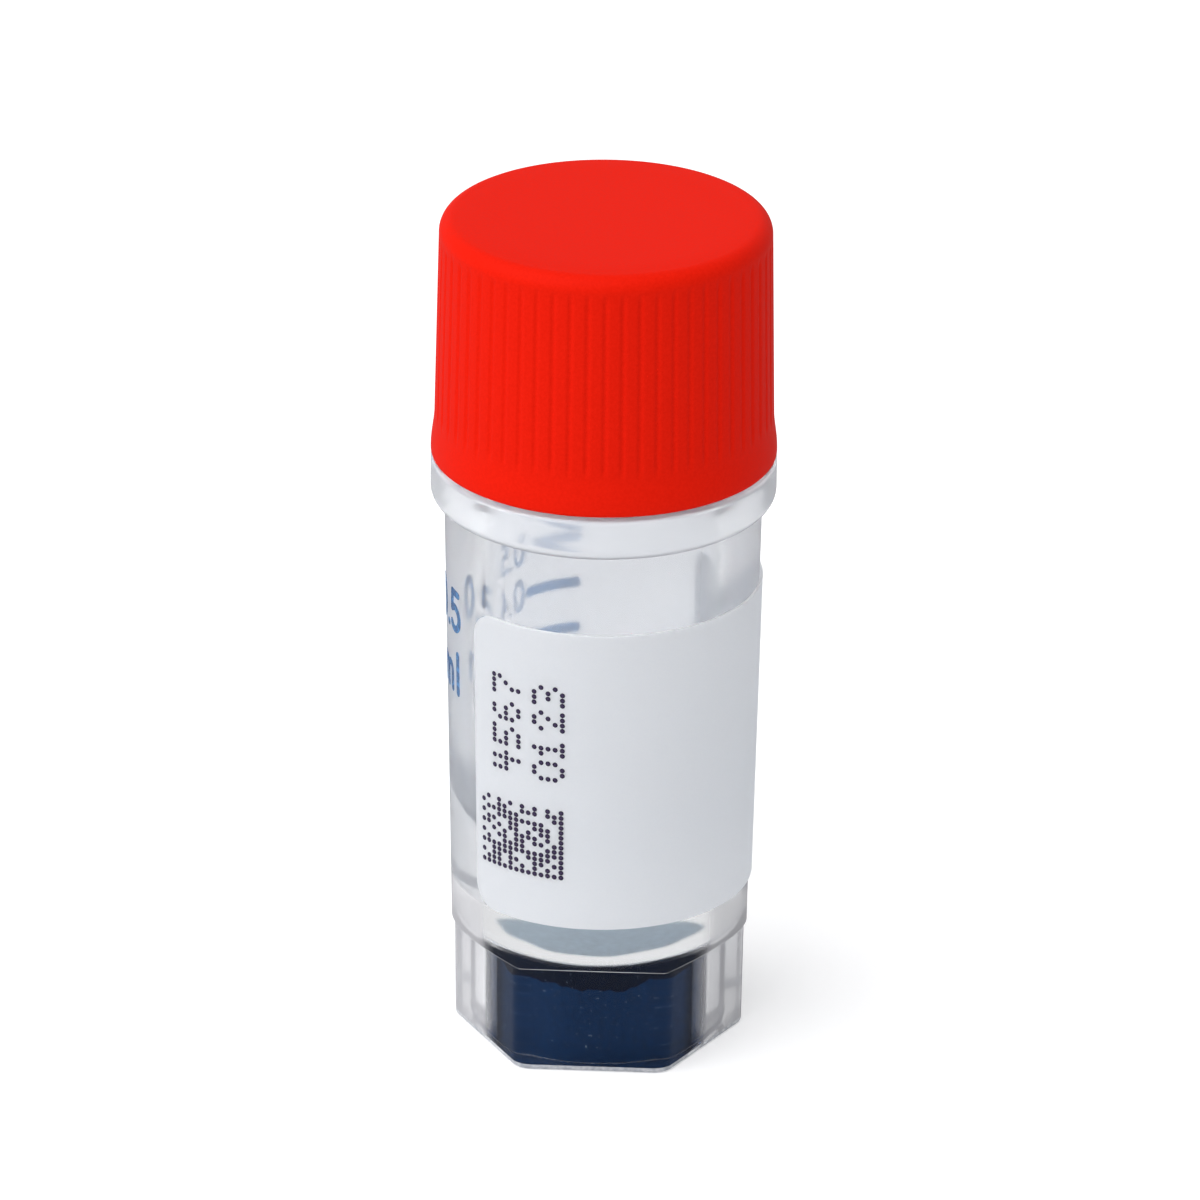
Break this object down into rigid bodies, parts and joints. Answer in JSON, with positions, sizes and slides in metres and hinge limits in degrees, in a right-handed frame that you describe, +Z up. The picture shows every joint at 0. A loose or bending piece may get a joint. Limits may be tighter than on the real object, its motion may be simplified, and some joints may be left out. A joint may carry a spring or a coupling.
{
  "type": "cryovial",
  "caption": "Clear self-standing cryogenic vial with a hexagonal foot, a collar, a wrapped white writing label and a ribbed red external-thread screw cap.",
  "frame": {"origin": "centre of the hexagonal foot's underside, where the vial stands", "axes": "+Z up the bore towards the cap, -Y out of the front facet of the foot, +X along a corner of the foot"},
  "size_m": [0.0125, 0.0124, 0.0318],
  "materials": {
    "clear_plastic": "clear natural polypropylene, smooth",
    "navy_plastic": "dark navy, matt",
    "red_plastic": "opaque red, satin",
    "seal_rubber": "soft translucent white silicone",
    "label_film": "white writing surface, matt"
  },
  "bodies": {
    "vial": {"vial_body": "clear_plastic", "code_plug": "navy_plastic", "writing_label": "label_film"},
    "gasket": {"cap_gasket": "seal_rubber"},
    "cap": {"screw_cap": "red_plastic"}
  },
  "joints": [
    {"name": "cap_lift", "type": "slide", "parent": "vial", "child": "gasket", "axis": [0, 0, 1], "range_m": [0, 0.016]},
    {"name": "cap_turn", "type": "hinge", "parent": "gasket", "child": "cap", "pos_m": [0, 0, 0.02275], "axis": [0, 0, 1], "range_deg": [0, 1801]}
  ],
  "couplings": [
    {"joint": "cap_turn", "follows": "cap_lift", "rad_per_m": 1963.5}
  ]
}
